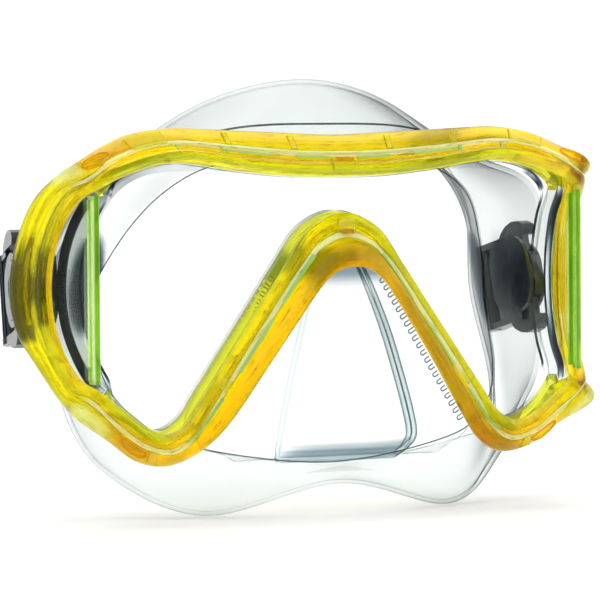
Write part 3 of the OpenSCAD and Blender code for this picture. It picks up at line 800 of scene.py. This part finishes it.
def nose_pocket():
    """The pocket as a closed shell, darker down its walls and along its floor, with a band of
    painted shade under the frame's arch.
    """
    rows = spline(POCKET_ROWS, POCKET_STEPS, closed=False)
    grid = np.array([pocket_line(r) for r in rows])
    normals = unit(np.cross(np.gradient(grid, axis=1), np.gradient(grid, axis=0)))
    back = grid - POCKET_T * normals
    na, nb = grid.shape[:2]
    m = na * nb
    faces = []
    for a in range(na - 1):
        for b in range(nb - 1):
            p = a * nb + b
            faces.append((p, p + nb, p + nb + 1, p + 1))
            faces.append((m + p, m + p + 1, m + p + nb + 1, m + p + nb))
    rim = (list(range(nb)) + [a * nb + nb - 1 for a in range(1, na)]
           + [(na - 1) * nb + b for b in range(nb - 2, -1, -1)]
           + [a * nb for a in range(na - 2, 0, -1)])
    for i, p in enumerate(rim):
        q = rim[(i + 1) % len(rim)]
        faces.append((p, q, m + q, m + p))
    verts = np.concatenate([grid.reshape(-1, 3), back.reshape(-1, 3)])
    across = np.abs(np.linspace(-5, 5, nb))[None, :]
    down = np.arange(na)[:, None] / POCKET_STEPS
    wall = bell(across, 2.6, 0.9, 0.7) * np.clip((down - 2) / 2, 0, 1)
    floor = bell(down, 10.2, 1.2, 0.8) * np.clip((3.5 - across) / 1.2, 0, 1)
    deep = np.maximum(wall, floor)
    # Painted shade in a band under the frame's arch, across the whole pocket
    shade = 0.8 * bell(down, 3.1, 0.3, 0.6) * np.ones_like(across)
    mesh_piece("nose_pocket_moulding", verts, faces, "mask", SILICONE, smooth=60,
               replaces=["nose_pocket"], slot="silicone",
               layers={"deep": [deep, deep], "shade": [shade, shade]})


nose_pocket()


def grip_ribs(side):
    """Small U ribs down the panel beside the nose, along the frame's leg."""
    start, stop = np.array([16.3, 4.7]), np.array([40.5, -35.0])
    way = unit(stop - start)
    off = np.array([way[1], -way[0]])
    count = 20
    pieces = []
    for i in range(count):
        middle = start + (stop - start) * i / (count - 1)
        path = []
        for k in range(9):
            a = math.pi * (k / 8)
            path.append(middle + off * (0.5 * math.sin(a)) + way * (0.55 * math.cos(a)))
        leg = 1.3 + 2.4 * max(0.0, 1 - i / 8)
        path = [path[0] - off * leg] + path + [path[-1] - off * leg]
        points = [[side * p[0], 9.0, p[1]] for p in path]
        pieces.append(wire(f"rib_{i}", points, 0.19, LINE, sides=6))
    rib = join_pieces(pieces, f"grip_ribs_{'left' if side < 0 else 'right'}")


for sign in (-1, 1):
    grip_ribs(sign)

# ---- CAD nodes that stay ----
def dress(node, material, bevel=0.0):
    """Gives a CAD node its material, and rounds its sharp edges."""
    obj = frame["nodes"][node]
    obj.data.materials.clear()
    obj.data.materials.append(material)
    if bevel:
        mod = obj.modifiers.new("edges", "BEVEL")
        mod.width = bevel * MM
        mod.segments = 2
        mod.limit_method = "ANGLE"
        mod.angle_limit = math.radians(40)
        mod.use_clamp_overlap = True


def coil(side, end):
    """A release tab's spring as a steel copy of the CAD's, in its place."""
    node = frame["nodes"][f"{side}_{end}_spring"]
    mesh = node.data.copy()
    mesh.transform(node.matrix_world)
    mesh.materials.clear()
    mesh.materials.append(STEEL)
    obj = bpy.data.objects.new(f"{side}_{end}_coil", mesh)
    bpy.context.scene.collection.objects.link(obj)
    points = np.array([v.co for v in mesh.vertices])
    # The middles of its lowest and highest twentieths; a lower tab is at its spring's low end
    points = points[np.argsort(points[:, 2])]
    count = len(points) // 20
    ends = [points[:count].mean(0), points[-count:].mean(0)]
    if end == "lower":
        ends.reverse()
    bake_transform(obj)
    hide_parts(node.name)


dress("front_lens", GLASS)
for side in SIDES:
    dress(side + "_side_lens", GLASS)
    dress(side + "_divider", LIME)
    for node in ("buckle_mount", "buckle_body", "buckle_cover", "upper_tab", "lower_tab",
                 "strap_roller"):
        dress(f"{side}_{node}", SMOKE, 0.25)
    dress(side + "_pivot_pin", DARK_STEEL, 0.1)
    dress(side + "_roller_pin", STEEL)
    for end in ("upper", "lower"):
        coil(side, end)


# ---- floor, light and camera ----
def studio():
    """White paper under the mask that curves up behind it, in metres."""
    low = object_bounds()[0].z - 0.0005
    near, far, bend, height, half_width, steps = -1.2, 0.9, 0.5, 2.2, 8, 12
    profile = [(near, low), (far, low)]
    for i in range(1, steps + 1):
        a = math.pi / 2 * i / steps
        profile.append((far + bend * math.sin(a), low + bend * (1 - math.cos(a))))
    profile.append((far + bend, low + height))
    verts = [(x, y, z) for y, z in profile for x in (-half_width, half_width)]
    faces = [(2 * i, 2 * i + 1, 2 * i + 3, 2 * i + 2) for i in range(len(profile) - 1)]
    mesh = bpy.data.meshes.new("sweep")
    mesh.from_pydata(verts, [], faces)
    mesh.shade_smooth()
    paper = Nodes("paper")
    surface = paper.add("BsdfPrincipled", Roughness=0.9, Specular_IOR_Level=0.1)
    paper.join(paper.ramp(paper.noise(6, 2), (0.3, (0.9, 0.9, 0.9)), (0.7, (0.92, 0.92, 0.92))),
               surface.inputs["Base Color"])
    mesh.materials.append(paper.finish(surface.outputs["BSDF"]))
    floor = bpy.data.objects.new("floor", mesh)
    bpy.context.scene.collection.objects.link(floor)
    floor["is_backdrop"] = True


def soft_light(name, place, aim, size, power):
    """A rectangular light: metres, and watts."""
    data = bpy.data.lights.new(name, "AREA")
    data.shape = "RECTANGLE"
    data.size, data.size_y = size
    data.energy = power
    obj = bpy.data.objects.new(name, data)
    bpy.context.scene.collection.objects.link(obj)
    obj.location = Vector(place)
    obj.rotation_euler = (Vector(aim) - Vector(place)).to_track_quat("-Z", "Y").to_euler()


def world():
    """A white room, darker in front of the mask than behind it."""
    w = bpy.data.worlds.new("studio")
    bpy.context.scene.world = w
    w.use_nodes = True
    tree = w.node_tree
    place = tree.nodes.new("ShaderNodeTexCoord")
    parts = tree.nodes.new("ShaderNodeSeparateXYZ")
    fall = tree.nodes.new("ShaderNodeMapRange")
    fall.inputs["From Min"].default_value = -0.9
    fall.inputs["From Max"].default_value = 0.2
    fall.inputs["To Min"].default_value = 0.3
    fall.inputs["To Max"].default_value = 1.15
    tree.links.new(place.outputs["Generated"], parts.inputs[0])
    tree.links.new(parts.outputs[1], fall.inputs["Value"])
    tree.links.new(fall.outputs["Result"], tree.nodes["Background"].inputs["Strength"])
    tree.nodes["Background"].inputs["Color"].default_value = (1, 1, 1, 1)


def camera():
    """The camera's place: degrees round from straight in front, up and of roll, and metres away."""
    azimuth, up_angle, roll = (math.radians(v) for v in (-25, 2.3, 0.44))
    distance, aside = 1.1, -0.0121
    right = Vector((math.cos(azimuth), math.sin(azimuth), 0))
    back = Vector((math.sin(azimuth) * math.cos(up_angle), -math.cos(azimuth) * math.cos(up_angle),
                   math.sin(up_angle)))
    up = back.cross(right)
    data = bpy.data.cameras.new("camera")
    data.sensor_width = 36
    data.lens = 236.9
    data.clip_start = 0.05
    obj = bpy.data.objects.new("camera", data)
    bpy.context.scene.collection.objects.link(obj)
    x = right * math.cos(roll) - up * math.sin(roll)
    y = right * math.sin(roll) + up * math.cos(roll)
    place = Vector((0, -LENS_TO_FACE * MM, 0)) + back * distance + right * aside
    turn = Matrix((x, y, back)).transposed().to_4x4()
    obj.matrix_world = Matrix.Translation(place) @ turn
    bpy.context.scene.camera = obj


studio()
world()
soft_light("backdrop", (0, 0.35, 1.5), (0, 1.4, 0.35), (2.2, 0.5), 5.5)
soft_light("key", (-0.9, -1.0, 1.1), (0, 0, 0), (0.9, 0.9), 5)
soft_light("fill", (1.1, -0.8, 0.7), (0, 0, 0), (0.8, 1.0), 4)
soft_light("back", (0.2, 0.8, 1.2), (0, 0.6, 0), (1.4, 0.8), 3.4)
camera()
scene = bpy.context.scene
scene.view_settings.view_transform = "Standard"
scene.view_settings.look = "Medium High Contrast"
scene.cycles.max_bounces = 16
scene.cycles.transmission_bounces = 14
scene.cycles.transparent_max_bounces = 40
